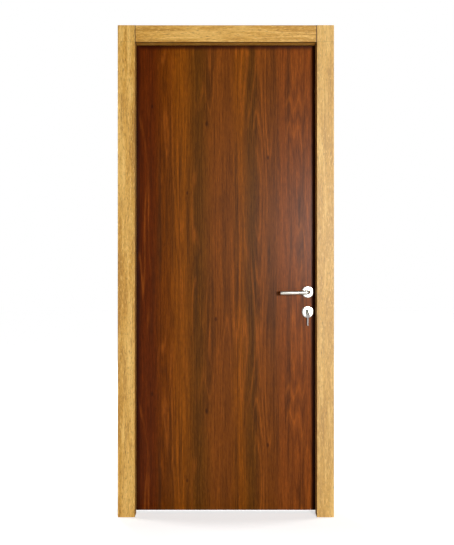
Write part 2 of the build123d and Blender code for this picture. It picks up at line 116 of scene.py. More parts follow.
class Steps:
    """A node tree, laid out in plain steps."""

    def __init__(self, tree: bpy.types.NodeTree, coordinates: str) -> None:
        """Take a node tree in hand.

        Args:
            tree: the node tree.
            coordinates: which texture coordinates its patterns are read on.
        """
        self.nodes = tree.nodes
        self.links = tree.links
        self.place = self.nodes.new("ShaderNodeTexCoord").outputs[coordinates]

    def feed(self, socket: Socket, value: Feed) -> None:
        """Link a socket, or set it when the value is a plain number or colour.

        Args:
            socket: the input that is fed.
            value: another node's output, a number, a colour or a vector.
        """
        if isinstance(value, Socket):
            self.links.new(value, socket)
        elif isinstance(value, tuple) and socket.type == "RGBA":
            socket.default_value = (*value, 1.0)
        else:
            socket.default_value = value

    def number(self, operation: str, *values: Feed) -> Socket:
        """Do one sum.

        Args:
            operation: the Math node's operation.
            values: its inputs in order.

        Returns:
            The result.
        """
        node = self.nodes.new("ShaderNodeMath")
        node.operation = operation
        for socket, value in zip(node.inputs, values):
            self.feed(socket, value)
        return node.outputs[0]

    def stretched(self, scale: Point, shift: Point = (0, 0, 0)) -> Socket:
        """Give the piece's own coordinates, multiplied along each direction.

        Args:
            scale: how many pattern units fit in a metre along X, Y and Z.
            shift: where the pattern starts, so that two finishes differ.

        Returns:
            The stretched coordinates.
        """
        node = self.nodes.new("ShaderNodeMapping")
        self.feed(node.inputs["Vector"], self.place)
        node.inputs["Scale"].default_value = scale
        node.inputs["Location"].default_value = shift
        return node.outputs[0]

    def joined(self, x: Feed, y: Feed, z: Feed) -> Socket:
        """Put three numbers together as one vector.

        Args:
            x: the first number.
            y: the second number.
            z: the third number.

        Returns:
            The vector.
        """
        node = self.nodes.new("ShaderNodeCombineXYZ")
        for socket, value in zip(node.inputs, (x, y, z)):
            self.feed(socket, value)
        return node.outputs[0]

    def parts(self, vector: Feed) -> Sequence[Socket]:
        """Take a vector apart.

        Args:
            vector: three numbers together.

        Returns:
            The three numbers.
        """
        node = self.nodes.new("ShaderNodeSeparateXYZ")
        self.feed(node.inputs[0], vector)
        return node.outputs

    def noise(self, vector: Feed, detail: float = 2.0, rough: float = 0.5, swirl: float = 0.0) -> Socket:
        """Make soft random clouds, one unit wide.

        Args:
            vector: where the pattern is read.
            detail: how many finer layers are added.
            rough: how strong the finer layers are.
            swirl: how much the clouds are twisted.

        Returns:
            A number near 0.5 that wanders between 0 and 1.
        """
        node = self.nodes.new("ShaderNodeTexNoise")
        self.feed(node.inputs["Vector"], vector)
        node.inputs["Scale"].default_value = 1.0
        node.inputs["Detail"].default_value = detail
        node.inputs["Roughness"].default_value = rough
        node.inputs["Distortion"].default_value = swirl
        return node.outputs[0]

    def span(
        self, value: Feed, low: float, high: float, to_low: float = 0.0, to_high: float = 1.0
    ) -> Socket:
        """Carry a number from one range to another with soft ends.

        Args:
            value: the number.
            low: where the change begins.
            high: where it ends.
            to_low: what is given at and below the low end.
            to_high: what is given at and above the high end.

        Returns:
            The number in its new range.
        """
        node = self.nodes.new("ShaderNodeMapRange")
        node.interpolation_type = "SMOOTHSTEP"
        for socket, part in zip(node.inputs, (value, low, high, to_low, to_high)):
            self.feed(socket, part)
        return node.outputs[0]

    def ramp(self, value: Feed, stops: Sequence[Stop], between: Between = Between.EVENLY) -> Socket:
        """Turn a number into a colour by a row of stops.

        Args:
            value: the number.
            stops: pairs of a place from 0 to 1 and the colour there.
            between: how the colour passes from one stop to the next.

        Returns:
            The colour.
        """
        node = self.nodes.new("ShaderNodeValToRGB")
        self.feed(node.inputs[0], value)
        node.color_ramp.interpolation = between.value
        elements = node.color_ramp.elements
        while len(elements) < len(stops):
            elements.new(1.0)
        for element, (position, colour) in zip(elements, stops):
            element.position = position
            element.color = (*colour, 1.0)
        return node.outputs[0]

    def distance(self, across: Feed, along: Feed) -> Socket:
        """Measure how far a place is from a point, by its distance in two directions.

        Args:
            across: distance in the first direction.
            along: distance in the second direction.

        Returns:
            The distance.
        """
        squares = [self.number("MULTIPLY", side, side) for side in (across, along)]
        return self.number("SQRT", self.number("ADD", squares[0], squares[1]))

    def mix(self, factor: Feed, first: Feed, second: Feed, mode: str = "MIX") -> Socket:
        """Lay one colour over another.

        Args:
            factor: how much of the second shows.
            first: the colour below.
            second: the colour above.
            mode: the way in which they are blended.

        Returns:
            The blended colour.
        """
        node = self.nodes.new("ShaderNodeMix")
        node.data_type = "RGBA"
        node.blend_type = mode
        self.feed(node.inputs[0], factor)
        self.feed(node.inputs[6], first)
        self.feed(node.inputs[7], second)
        return node.outputs[2]

    def shaded(self, colour: Feed, value: Feed, darkest: float, lightest: float) -> Socket:
        """Multiply a colour by a grey that follows a number.

        Args:
            colour: the colour below.
            value: a number near 0.5.
            darkest: the grey where the number is low.
            lightest: the grey where it is high.

        Returns:
            The shaded colour.
        """
        grey = self.span(value, 0.3, 0.7, darkest, lightest)
        return self.mix(1.0, colour, grey, "MULTIPLY")


class Sheet(Steps):
    """The node tree of one finish."""

    def __init__(self, name: str) -> None:
        """Start an empty finish.

        Args:
            name: what the finish is called.
        """
        self.material = bpy.data.materials.new(name)
        self.material.use_nodes = True
        super().__init__(self.material.node_tree, "Object")
        self.shader = self.nodes["Principled BSDF"]

    def bump(self, height: Feed, depth: float, strength: float = 1.0) -> None:
        """Raise the surface a little where the height is high.

        Args:
            height: a number from 0 to 1.
            depth: how far 1 stands above 0, in metres.
            strength: how much of the relief is kept.
        """
        node = self.nodes.new("ShaderNodeBump")
        node.inputs["Strength"].default_value = strength
        node.inputs["Distance"].default_value = depth
        self.feed(node.inputs["Height"], height)
        self.feed(self.shader.inputs["Normal"], node.outputs[0])

    def dress(
        self, colour: Feed, roughness: Feed, metallic: float = 0.0, specular: float = 0.5
    ) -> bpy.types.Material:
        """Set what the surface sends back.

        Args:
            colour: its colour.
            roughness: how matt it is.
            metallic: 1 for bare metal.
            specular: strength of the shine on what isn't metal.

        Returns:
            The finished material.
        """
        self.feed(self.shader.inputs["Base Color"], colour)
        self.feed(self.shader.inputs["Roughness"], roughness)
        self.shader.inputs["Metallic"].default_value = metallic
        self.shader.inputs["Specular IOR Level"].default_value = specular
        return self.material


@dataclass(frozen=True)
class WalnutLaminate:
    """The dark walnut print of the leaf, which repeats at each turn of its printing roller, with painted
    shade near the edges of the opening.
    """

    name: str = "walnut_laminate"
    roller: float = 1.28
    leaf_width: float = 0.874
    # Each strip's middle, as a share of the leaf's width from the hinge side, and its tone.
    strips: tuple[tuple[float, Wood], ...] = (
        (0.05, Wood.RED),
        (0.12, Wood.RED),
        (0.19, Wood.WARM),
        (0.275, Wood.AMBER),
        (0.36, Wood.SMOKY),
        (0.455, Wood.CHESTNUT),
        (0.515, Wood.BROWN),
        (0.57, Wood.AMBER),
        (0.635, Wood.SMOKY),
        (0.69, Wood.CHESTNUT),
        (0.735, Wood.BROWN),
        (0.8, Wood.ROSY),
        (0.95, Wood.ROSY),
    )
    # Each knot's place across the leaf, its place round the roller and its radius.
    knots: tuple[tuple[float, float, float], ...] = (
        (0.354, 0.452, 0.008),
        (0.265, 0.143, 0.006),
        (0.109, 0.528, 0.007),
        (0.394, 0.862, 0.007),
        (0.625, 0.301, 0.007),
    )
    borders: tuple[float, ...] = (0.1465, 0.2307, 0.3105, 0.39, 0.492, 0.572, 0.6516)
    border_reach: float = 0.004
    border_share: float = 0.3
    slow_bend: float = 0.012
    quick_bend: float = 0.007
    hill_steps: float = 62.0
    smoke_share: float = 0.45
    flame_share: float = 0.42
    vein_share: float = 0.3
    knot_share: float = 0.72
    knot_length: float = 2.0
    streak_scale: Point = (180.0, 180.0, 5.5)
    streak_greys: Pair = (0.7, 1.28)
    pore_scale: Point = (420.0, 420.0, 34.0)
    pore_greys: Pair = (0.74, 1.22)
    roughness: Pair = (0.31, 0.28)
    # Painted shade near the opening's edges: the distance where it is full, where it fades out, and its
    # strength.
    rim_shade_near: float = 0.004
    rim_shade_far: float = 0.027
    rim_shade_share: float = 0.88
    relief: float = 0.00012
    shine: float = 0.085
    smoke: Colour = tone(58, 34, 12)
    flame: Colour = tone(168, 88, 24)
    vein: Colour = tone(50, 22, 6)
    # Colour of the painted shade near the opening's edges.
    rim_shade: Colour = tone(40, 6, 0)
    # The opening's edges, where the painted shade is darkest.
    opening_left: float = 0.0395
    opening_right: float = 0.836
    opening_top: float = 2.0795

    def make(self) -> bpy.types.Material:
        """Print the walnut.

        Returns:
            The material of both faces of the leaf.
        """
        sheet = Sheet(self.name)
        x, _, z = sheet.parts(sheet.place)
        turn = sheet.number("MULTIPLY", z, 2 * math.pi / self.roller)
        round_x, round_y = sheet.number("COSINE", turn), sheet.number("SINE", turn)

        def printed(across: float, along: float, start: float) -> Socket:
            """Give coordinates that join up at each turn of the roller.

            Args:
                across: pattern units in a metre across the grain.
                along: pattern units in a metre along it.
                start: where the pattern begins.

            Returns:
                The coordinates.
            """
            reach = along * self.roller / (2 * math.pi)
            return sheet.joined(
                sheet.number("MULTIPLY_ADD", x, across, start),
                sheet.number("MULTIPLY", round_x, reach),
                sheet.number("MULTIPLY", round_y, reach),
            )

        slow = sheet.number("SUBTRACT", sheet.noise(printed(3.0, 1.6, 2.0)), 0.5)
        quick = sheet.number("SUBTRACT", sheet.noise(printed(22.0, 4.5, 7.0), 2.0), 0.5)
        bent = sheet.number("MULTIPLY_ADD", slow, self.slow_bend, x)
        bent = sheet.number("MULTIPLY_ADD", quick, self.quick_bend, bent)
        stops = [(place, wood.value) for place, wood in self.strips]
        colour = sheet.ramp(sheet.number("DIVIDE", bent, self.leaf_width), stops, Between.SOFTLY)
        for border in self.borders:
            away = sheet.number("ABSOLUTE", sheet.number("SUBTRACT", bent, border))
            dark = sheet.span(away, 0.0, self.border_reach, self.border_share, 0.0)
            colour = sheet.mix(dark, colour, self.vein)

        smoky = sheet.noise(printed(34.0, 1.4, 31.0), 2.0)
        colour = sheet.mix(sheet.span(smoky, 0.5, 0.72, 0.0, self.smoke_share), colour, self.smoke)

        hills = sheet.number("MULTIPLY", sheet.noise(printed(13.0, 0.92, 11.0), 1.0), self.hill_steps)
        wave = sheet.number("MULTIPLY_ADD", sheet.number("SINE", hills), 0.5, 0.5)
        where = sheet.span(sheet.noise(printed(11.0, 1.2, 47.0)), 0.42, 0.62)
        crests = sheet.number("MULTIPLY", sheet.number("POWER", wave, 8.0), where)
        colour = sheet.mix(sheet.number("MULTIPLY", crests, self.flame_share), colour, self.flame)
        hollows = sheet.number("POWER", sheet.number("SUBTRACT", 1.0, wave), 6.0)
        hollows = sheet.number("MULTIPLY", hollows, where)
        colour = sheet.mix(sheet.number("MULTIPLY", hollows, self.vein_share), colour, self.vein)

        turned = sheet.number("MODULO", z, self.roller)
        for knot_x, knot_z, radius in self.knots:
            across = sheet.number("SUBTRACT", bent, knot_x)
            along = sheet.number("SUBTRACT", turned, knot_z)
            along = sheet.number("MULTIPLY", along, 1 / self.knot_length)
            away = sheet.distance(across, along)
            eye = sheet.span(away, radius * 0.25, radius * 1.1, self.knot_share, 0.0)
            colour = sheet.mix(eye, colour, self.vein)

        streaks = sheet.noise(sheet.stretched(self.streak_scale, (3.0, 0.0, 1.0)), 4.0, 0.65)
        colour = sheet.shaded(colour, streaks, *self.streak_greys)
        pores = sheet.noise(sheet.stretched(self.pore_scale, (9.0, 0.0, 4.0)), 3.0, 0.65)
        colour = sheet.shaded(colour, pores, *self.pore_greys)
        # Painted shade near the left, right and top edges of the opening.
        colour = self.painted_rim_shade(sheet, colour)
        matt = sheet.span(pores, 0.3, 0.7, *self.roughness)
        sheet.bump(sheet.number("ADD", streaks, pores), self.relief, 0.5)
        return sheet.dress(colour, matt, specular=self.shine)

    def painted_rim_shade(self, sheet: Sheet, colour: Feed) -> Socket:
        """Paint shade on the leaf near the left, right and top edges of the opening, where the frame's
        reveals shade it.

        Args:
            sheet: the finish that is made.
            colour: the walnut so far.

        Returns:
            The walnut with its painted shade.
        """
        x, _, z = sheet.parts(sheet.place)
        reach = sheet.number("ABSOLUTE", sheet.number("SUBTRACT", x, self.opening_left))
        for line, place in ((self.opening_right, x), (self.opening_top, z)):
            near = sheet.number("ABSOLUTE", sheet.number("SUBTRACT", place, line))
            reach = sheet.number("MINIMUM", reach, near)
        dark = sheet.span(reach, self.rim_shade_near, self.rim_shade_far, self.rim_shade_share, 0.0)
        return sheet.mix(dark, colour, self.rim_shade)


@dataclass(frozen=True)
class OakLaminate:
    """The light oak print of the frame and its casings, with painted shadow in the head's butt joints,
    painted shade on the front casings' faces in the opening and a painted sheen that makes the upright boards
    paler towards the lock side.
    """

    grain: Grain
    seed: float
    body: Colour = tone(210, 155, 58)
    light: Colour = tone(250, 206, 118)
    dark: Colour = tone(156, 102, 24)
    pore: Colour = tone(110, 66, 16)
    # Colour of the painted shadow in the butt joints.
    joint: Colour = tone(38, 24, 6)
    shade: Colour = tone(92, 56, 8)
    # Tone of the painted sheen that lightens the upright boards towards the lock side.
    pale: Colour = tone(255, 226, 166)
    # Pattern units in a metre across and along the grain.
    cloud_scale: Pair = (14.0, 0.9)
    figure_scale: Pair = (90.0, 6.0)
    fleck_scale: Pair = (230.0, 40.0)
    pore_scale: Pair = (360.0, 46.0)
    body_share: float = 0.45
    figure_light: float = 0.6
    figure_dark: float = 0.5
    fleck_light: float = 0.72
    fleck_dark: float = 0.74
    pore_share: float = 0.66
    roughness: Pair = (0.51, 0.45)
    # Where the level boards meet the upright ones, along X, and the lower edge of the front one.
    front_joints: Pair = (0.0395, 0.836)
    back_joints: Pair = (0.012, 0.8635)
    front_foot: float = 2.0795
    casing_back: float = -0.0455
    # Painted sheen: where along X it begins and ends, and how strong it is.
    sheen_from: float = 0.3
    sheen_to: float = 0.7
    sheen_share: float = 0.14
    # Painted shadow in the hairline gaps at the butt joints: where it is full, where it ends, and how strong
    # it is.
    gap_shadow_near: float = 0.002
    gap_shadow_far: float = 0.0042
    gap_shadow_share: float = 0.92
    # Painted shade on the front casings' faces in the opening: where it is full, where it ends, and how
    # strong it is.
    edge_near: float = 0.00015
    edge_far: float = 0.0006
    shade_share: float = 0.8
    relief: float = 0.0002
    shine: float = 0.45

    def make(self) -> bpy.types.Material:
        """Print the oak.

        Returns:
            The material of the boards whose grain runs this way.
        """
        sheet = Sheet(f"oak_laminate_{self.grain.value}")

        def run(across: float, along: float, start: float) -> Socket:
            """Stretch the coordinates along the grain.

            Args:
                across: pattern units in a metre across the grain.
                along: pattern units in a metre along it.
                start: where the pattern begins.

            Returns:
                The coordinates.
            """
            scale = (across, across, along) if self.grain is Grain.UPRIGHT else (along, across, across)
            return sheet.stretched(scale, (start, self.seed, start * 0.7))

        slow = sheet.noise(run(*self.cloud_scale, 2.0), 2.0)
        tones = ((0.0, self.dark), (0.5, self.body), (1.0, self.light))
        colour = sheet.ramp(sheet.span(slow, 0.28, 0.72), tones)
        colour = sheet.mix(self.body_share, colour, self.body)
        figure = sheet.noise(run(*self.figure_scale, 5.0), 3.0, 0.6, 0.3)
        colour = sheet.mix(sheet.span(figure, 0.5, 0.72, 0.0, self.figure_light), colour, self.light)
        colour = sheet.mix(sheet.span(figure, 0.3, 0.48, self.figure_dark, 0.0), colour, self.dark)
        flecks = sheet.noise(run(*self.fleck_scale, 8.0), 3.0, 0.7)
        colour = sheet.mix(sheet.span(flecks, 0.52, 0.68, 0.0, self.fleck_light), colour, self.light)
        colour = sheet.mix(sheet.span(flecks, 0.32, 0.47, self.fleck_dark, 0.0), colour, self.dark)
        pores = sheet.noise(run(*self.pore_scale, 12.0), 2.0)
        colour = sheet.mix(sheet.span(pores, 0.27, 0.43, self.pore_share, 0.0), colour, self.pore)
        if self.grain is Grain.LEVEL:
            # Painted shadow in the hairline gaps at the butt joints.
            colour = self.painted_gap_shadow(sheet, colour)
        else:
            # Painted sheen: the upright boards turn paler towards the lock side.
            across = sheet.parts(sheet.place)[0]
            sheen_mask = sheet.span(across, self.sheen_from, self.sheen_to, 0.0, self.sheen_share)
            colour = sheet.mix(sheen_mask, colour, self.pale)
        # Painted shade on the faces that look into the opening.
        colour = self.painted_reveal_shade(sheet, colour)
        sheet.bump(sheet.number("ADD", flecks, pores), self.relief, 0.5)
        return sheet.dress(colour, sheet.span(flecks, 0.3, 0.7, *self.roughness), specular=self.shine)

    def painted_gap_shadow(self, sheet: Sheet, colour: Feed) -> Socket:
        """Paint the shadow of the hairline gaps where the level boards are butted between the upright ones.

        Args:
            sheet: the finish that is made.
            colour: the oak so far.

        Returns:
            The oak with its dark joints.
        """
        x, y, _ = sheet.parts(sheet.place)
        behind = sheet.number("GREATER_THAN", y, 0.0)
        front = sheet.number("ADD", self.nearest(sheet, x, self.front_joints), behind)
        ahead = sheet.number("SUBTRACT", 1.0, behind)
        back = sheet.number("ADD", self.nearest(sheet, x, self.back_joints), ahead)
        reach = sheet.number("MINIMUM", front, back)
        dark = sheet.span(reach, self.gap_shadow_near, self.gap_shadow_far, self.gap_shadow_share, 0.0)
        return sheet.mix(dark, colour, self.joint)

    def nearest(self, sheet: Sheet, value: Feed, lines: Sequence[float]) -> Socket:
        """Measure how far a place is from the nearer of two lines."""
        gaps = [sheet.number("ABSOLUTE", sheet.number("SUBTRACT", value, line)) for line in lines]
        return sheet.number("MINIMUM", gaps[0], gaps[1])

    def painted_reveal_shade(self, sheet: Sheet, colour: Feed) -> Socket:
        """Paint shade on the front casings' faces that look into the opening: their inner sides and the head
        casing's underside.

        Args:
            sheet: the finish that is made.
            colour: the oak so far.

        Returns:
            The oak with darker inner edges.
        """
        x, y, z = sheet.parts(sheet.place)
        foot = sheet.number("ABSOLUTE", sheet.number("SUBTRACT", z, self.front_foot))
        reach = sheet.number("MINIMUM", self.nearest(sheet, x, self.front_joints), foot)
        beyond = sheet.number("GREATER_THAN", y, self.casing_back)
        reach = sheet.number("ADD", reach, beyond)
        dark = sheet.span(reach, self.edge_near, self.edge_far, self.shade_share, 0.0)
        return sheet.mix(dark, colour, self.shade)


@dataclass(frozen=True)
class PlainTimber:
    """Straight-grained wood of the leaf's edges."""

    name: str = "leaf_edge_timber"
    early: Colour = tone(104, 58, 28)
    late: Colour = tone(66, 34, 16)

    def make(self) -> bpy.types.Material:
        """Plane the timber.

        Returns:
            The material of the stiles and rails.
        """
        sheet = Sheet(self.name)
        rings = sheet.noise(sheet.stretched((60.0, 60.0, 1.5)), 3.0, 0.6)
        colour = sheet.ramp(sheet.span(rings, 0.3, 0.7), ((0.0, self.late), (1.0, self.early)))
        fibres = sheet.noise(sheet.stretched((500.0, 500.0, 9.0)), 3.0)
        colour = sheet.shaded(colour, fibres, 0.82, 1.15)
        sheet.bump(fibres, 0.00015, 0.6)
        return sheet.dress(colour, sheet.span(rings, 0.3, 0.7, 0.5, 0.6), specular=0.3)


@dataclass(frozen=True)
class ChipCore:
    """Pressed chips of the leaf's core."""

    name: str = "core_board"
    chip: Colour = tone(196, 164, 116)
    glue: Colour = tone(138, 104, 66)

    def make(self) -> bpy.types.Material:
        """Press the board.

        Returns:
            The material of the core.
        """
        sheet = Sheet(self.name)
        chips = sheet.noise(sheet.stretched((240.0, 240.0, 240.0)), 4.0, 0.7, 1.2)
        colour = sheet.ramp(sheet.span(chips, 0.35, 0.65), ((0.0, self.glue), (1.0, self.chip)))
        sheet.bump(chips, 0.0004, 0.8)
        return sheet.dress(colour, sheet.span(chips, 0.3, 0.7, 0.95, 0.8), specular=0.2)


@dataclass(frozen=True)
class SealRubber:
    """Soft brown rubber of the seal."""

    name: str = "seal_rubber"
    colour: Colour = tone(58, 44, 34)

    def make(self) -> bpy.types.Material:
        """Mould the rubber.

        Returns:
            The material of the seals.
        """
        sheet = Sheet(self.name)
        bloom = sheet.noise(sheet.stretched((90.0, 90.0, 30.0)), 4.0, 0.6)
        colour = sheet.shaded(self.colour, bloom, 0.8, 1.2)
        sheet.bump(sheet.noise(sheet.stretched((900.0, 900.0, 900.0))), 0.00005, 0.5)
        return sheet.dress(colour, sheet.span(bloom, 0.3, 0.7, 0.62, 0.78), specular=0.35)


@dataclass(frozen=True)
class DrawnMetal:
    """Metal whose fine brush lines run along one direction."""

    name: str
    colour: Colour
    roughness: float
    lines: Point
    relief: float = 0.00002

    def make(self) -> bpy.types.Material:
        """Brush the metal.

        Returns:
            The material.
        """
        sheet = Sheet(self.name)
        brush = sheet.noise(sheet.stretched(self.lines), 3.0, 0.6)
        cloud = sheet.noise(sheet.stretched((70.0, 70.0, 70.0), (4.0, 1.0, 2.0)), 2.0)
        colour = sheet.shaded(self.colour, brush, 0.9, 1.06)
        colour = sheet.shaded(colour, cloud, 0.95, 1.03)
        rough = sheet.number("MULTIPLY_ADD", brush, 0.12, self.roughness - 0.06)
        rough = sheet.number("MULTIPLY_ADD", cloud, 0.06, rough)
        sheet.bump(brush, self.relief, 0.5)
        return sheet.dress(colour, rough, metallic=1.0)


class Finishes:
    """Every finish of the door, made once and shared."""

    def __init__(self) -> None:
        """Make the finishes."""
        satin = DrawnMetal("satin_steel", tone(196, 194, 186), 0.34, (40.0, 40.0, 900.0))
        lever = DrawnMetal("brushed_lever_steel", tone(238, 236, 226), 0.29, (20.0, 420.0, 420.0), 0.000003)
        rose = DrawnMetal("brushed_rose_steel", tone(226, 224, 214), 0.27, (400.0, 40.0, 400.0), 0.000003)
        cylinder = DrawnMetal("cylinder_metal", tone(128, 128, 98), 0.4, (300.0, 60.0, 300.0))
        key = DrawnMetal("key_metal", tone(240, 242, 240), 0.44, (250.0, 250.0, 250.0))
        self.walnut = WalnutLaminate().make()
        self.oak_upright = OakLaminate(Grain.UPRIGHT, 3.0).make()
        self.oak_level = OakLaminate(Grain.LEVEL, 11.0).make()
        self.edge = PlainTimber().make()
        self.core = ChipCore().make()
        self.rubber = SealRubber().make()
        self.satin = satin.make()
        self.lever = lever.make()
        self.rose = rose.make()
        self.cylinder = cylinder.make()
        self.key = key.make()


class Bench:
    """The moves that every piece is shaped and finished with."""

    @staticmethod
    def clear() -> None:
        """Leave edit mode and deselect everything."""
        if bpy.context.object and bpy.context.object.mode != "OBJECT":
            bpy.ops.object.mode_set(mode="OBJECT")
        bpy.ops.object.select_all(action="DESELECT")

    @staticmethod
    def take(piece: Piece) -> None:
        """Make one piece the only one selected.

        Args:
            piece: the object.
        """
        Bench.clear()
        piece.select_set(True)
        bpy.context.view_layer.objects.active = piece

    @staticmethod
    def ring(centre: Point, rings: Sequence[Pair], facets: int, filled: bool) -> Piece:
        """Turn a piece about an axis along Y, ring after ring, and leave it in edit mode.

        Args:
            centre: a point on the axis.
            rings: pairs of a radius and a place along Y, from the first ring to the last.
            facets: how many corners each ring has.
            filled: whether the first and last rings are closed by a face.

        Returns:
            The piece, whose last ring is selected.
        """
        Bench.clear()
        x, _, z = centre
        radius, place = rings[0]
        bpy.ops.mesh.primitive_circle_add(
            vertices=facets, radius=radius, fill_type="NGON" if filled else "NOTHING",
            location=(x, place, z), rotation=(math.pi / 2, 0.0, 0.0),
        )
        piece = bpy.context.object
        bpy.ops.object.mode_set(mode="EDIT")
        bpy.ops.mesh.select_all(action="SELECT")
        for next_radius, next_place in rings[1:]:
            bpy.ops.mesh.extrude_region_move(TRANSFORM_OT_translate={"value": (0.0, next_place - place, 0.0)})
            grow = next_radius / radius
            bpy.ops.transform.resize(value=(grow, 1.0, grow), center_override=(x, next_place, z))
            radius, place = next_radius, next_place
        return piece

    @staticmethod
    def cut(piece: Piece, cutter: Piece) -> None:
        """Cut one piece out of another and throw the cutter away.

        Args:
            piece: the object that is cut.
            cutter: the object whose shape is taken away.
        """
        Bench.take(piece)
        hollow = piece.modifiers.new("hollow", "BOOLEAN")
        hollow.operation = "DIFFERENCE"
        hollow.solver = "EXACT"
        hollow.object = cutter
        bpy.ops.object.modifier_apply(modifier=hollow.name)
        bpy.data.objects.remove(cutter)

    @staticmethod
    def block(low: Point, high: Point) -> Piece:
        """Make a plain block, used only as a cutter.

        Args:
            low: its lowest corner.
            high: its highest corner.

        Returns:
            The block.
        """
        Bench.clear()
        middle = [(a + b) / 2 for a, b in zip(low, high)]
        sides = [b - a for a, b in zip(low, high)]
        bpy.ops.mesh.primitive_cube_add(size=1.0, location=middle, scale=sides)
        return bpy.context.object

    @staticmethod
    def settle(piece: Piece, angle: float = 32.0) -> None:
        """Write a piece's place into its mesh, turn its faces outwards and smooth it.

        Args:
            piece: the object.
            angle: edges that turn by less than this many degrees look smooth.
        """
        Bench.take(piece)
        bpy.ops.object.transform_apply(location=True, rotation=True, scale=True)
        bpy.ops.object.mode_set(mode="EDIT")
        bpy.ops.mesh.select_all(action="SELECT")
        bpy.ops.mesh.remove_doubles(threshold=WELD)
        bpy.ops.mesh.normals_make_consistent(inside=False)
        bpy.ops.object.mode_set(mode="OBJECT")
        bpy.ops.object.shade_smooth_by_angle(angle=math.radians(angle))

    @staticmethod
    def copy(piece: Piece, name: str, place: Matrix) -> Piece:
        """Copy a finished piece, with its own mesh, to another place.

        Args:
            piece: the pattern piece.
            name: the copy's name.
            place: what moves the pattern piece there.

        Returns:
            The copy.
        """
        twin = piece.copy()
        twin.data = piece.data.copy()
        twin.name = name
        twin.data.transform(place)
        bpy.context.collection.objects.link(twin)
        return twin

    @staticmethod
    def dress(node: str, finish: bpy.types.Material) -> None:
        """Give a CAD node its finish.

        Args:
            node: the node's name.
            finish: the material.
        """
        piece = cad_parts[node]
        piece.data.materials.clear()
        piece.data.materials.append(finish)
        log.info("%s dressed in %s", node, finish.name)


@dataclass
class FrameBoards:
    """The linings, the casings on both sides and the seals."""

    uprights: tuple[str, ...] = (
        "hinge_jamb_lining", "lock_jamb_lining", "hinge_casing_front", "lock_casing_front",
        "hinge_casing_back", "lock_casing_back",
    )
    levels: tuple[str, ...] = ("head_lining", "head_casing_front", "head_casing_back")
    seals: tuple[str, ...] = ("hinge_jamb_seal", "lock_jamb_seal", "head_seal")

    def build(self, finishes: Finishes) -> None:
        """Dress the boards.

        Args:
            finishes: the shared finishes.
        """
        for node in self.uprights:
            Bench.dress(node, finishes.oak_upright)
        for node in self.levels:
            Bench.dress(node, finishes.oak_level)
        for node in self.seals:
            Bench.dress(node, finishes.rubber)


@dataclass
class LeafPanel:
    """The leaf with its two printed faces."""

    faces: tuple[str, ...] = ("front_skin", "back_skin")
    edges: tuple[str, ...] = ("hinge_stile", "lock_stile", "top_rail", "bottom_rail")

    def build(self, finishes: Finishes) -> None:
        """Dress the leaf.

        Args:
            finishes: the shared finishes.
        """
        for node in self.faces:
            Bench.dress(node, finishes.walnut)
        for node in self.edges:
            Bench.dress(node, finishes.edge)
        Bench.dress("leaf_core", finishes.core)


@dataclass
class Ironmongery:
    """Hinges, lock, levers, roses, cylinder and keys."""

    hinges: tuple[str, ...] = ("bottom", "middle", "top")

    def build(self, finishes: Finishes) -> None:
        """Dress the metal.

        Args:
            finishes: the shared finishes.
        """
        for level in self.hinges:
            for part in ("frame_leaf", "door_leaf", "pin"):
                Bench.dress(f"{level}_hinge_{part}", finishes.satin)
        for node in ("strike_plate", "lock_forend", "lock_case", "latch_bolt", "dead_bolt", "spindle"):
            Bench.dress(node, finishes.satin)
        for node in ("front_lever", "back_lever"):
            Bench.dress(node, finishes.lever)
        for node in ("front_lever_rose", "back_lever_rose", "front_key_rose", "back_key_rose"):
            Bench.dress(node, finishes.rose)
        for node in ("cylinder_body", "cylinder_plug"):
            Bench.dress(node, finishes.cylinder)
        for node in ("key_in_lock", "key_ring", "spare_key"):
            Bench.dress(node, finishes.key)


@dataclass
class Levers:
    """The two round levers, drawn from bar and bent once."""

    spindle: Point = (0.802, 0.025, 0.983)
    leaf_half: float = 0.02
    neck: float = 0.0284
    arm: float = 0.068
    radius: float = 0.00949
    spigot: float = 0.008
    bend: float = 0.0118
    reach: float = 0.124
    droop: float = 1.4
    softened: float = 0.0011
    facets: int = 56
    bend_steps: int = 16
    screw_radius: float = 0.0021
    screw_half: float = 0.004
    screw_from_neck: float = 0.009

    def build(self, finishes: Finishes) -> None:
        """Make the lever once and put it on both faces of the leaf.

        Args:
            finishes: the shared finishes.
        """
        pattern = self.draw()
        pattern.data.materials.append(finishes.lever)
        for side, node in ((Side.PUSH, "front_lever"), (Side.PULL, "back_lever")):
            place = (
                Matrix.Translation(self.spindle)
                @ Matrix.Rotation(math.radians(-self.droop), 4, "Y")
                @ Matrix.Rotation(side.value, 4, "X")
            )
            lever = Bench.copy(pattern, f"smooth_{node}", place)
            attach(lever, "lever_set")
            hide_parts(node)
            log.info("lever: %s made", lever.name)
        bpy.data.objects.remove(pattern)

    def draw(self) -> Piece:
        """Draw the lever about its own spindle, with its arm towards the hinges.

        Returns:
            The pattern lever.
        """
        start = -self.arm + self.bend
        edge = self.softened * 0.5
        rings = [
            (self.spigot, -self.leaf_half), (self.spigot, -self.neck), (self.radius - edge, -self.neck),
            (self.radius, -self.neck - edge), (self.radius, start),
        ]
        lever = Bench.ring(ORIGIN, rings, self.facets, True)
        pivot = (-self.bend, start, 0.0)
        bpy.ops.mesh.spin(steps=self.bend_steps, angle=math.pi / 2, center=pivot, axis=(0.0, 0.0, 1.0))
        straight = self.reach - self.bend
        bpy.ops.mesh.extrude_region_move(TRANSFORM_OT_translate={"value": (-straight, 0.0, 0.0)})
        bpy.ops.mesh.bevel(offset=self.softened, offset_type="OFFSET", segments=4, affect="EDGES")
        Bench.settle(lever, 40.0)
        ends = [(self.screw_radius, -self.screw_half), (self.screw_radius, self.screw_half)]
        hole = Bench.ring(ORIGIN, ends, 6, True)
        bpy.ops.mesh.select_all(action="SELECT")
        bpy.ops.transform.rotate(value=math.pi / 2, orient_axis="X", center_override=ORIGIN)
        bpy.ops.transform.translate(value=(0.0, -self.neck - self.screw_from_neck, -self.radius))
        Bench.settle(hole)
        Bench.cut(lever, hole)
        Bench.settle(lever, 40.0)
        return lever


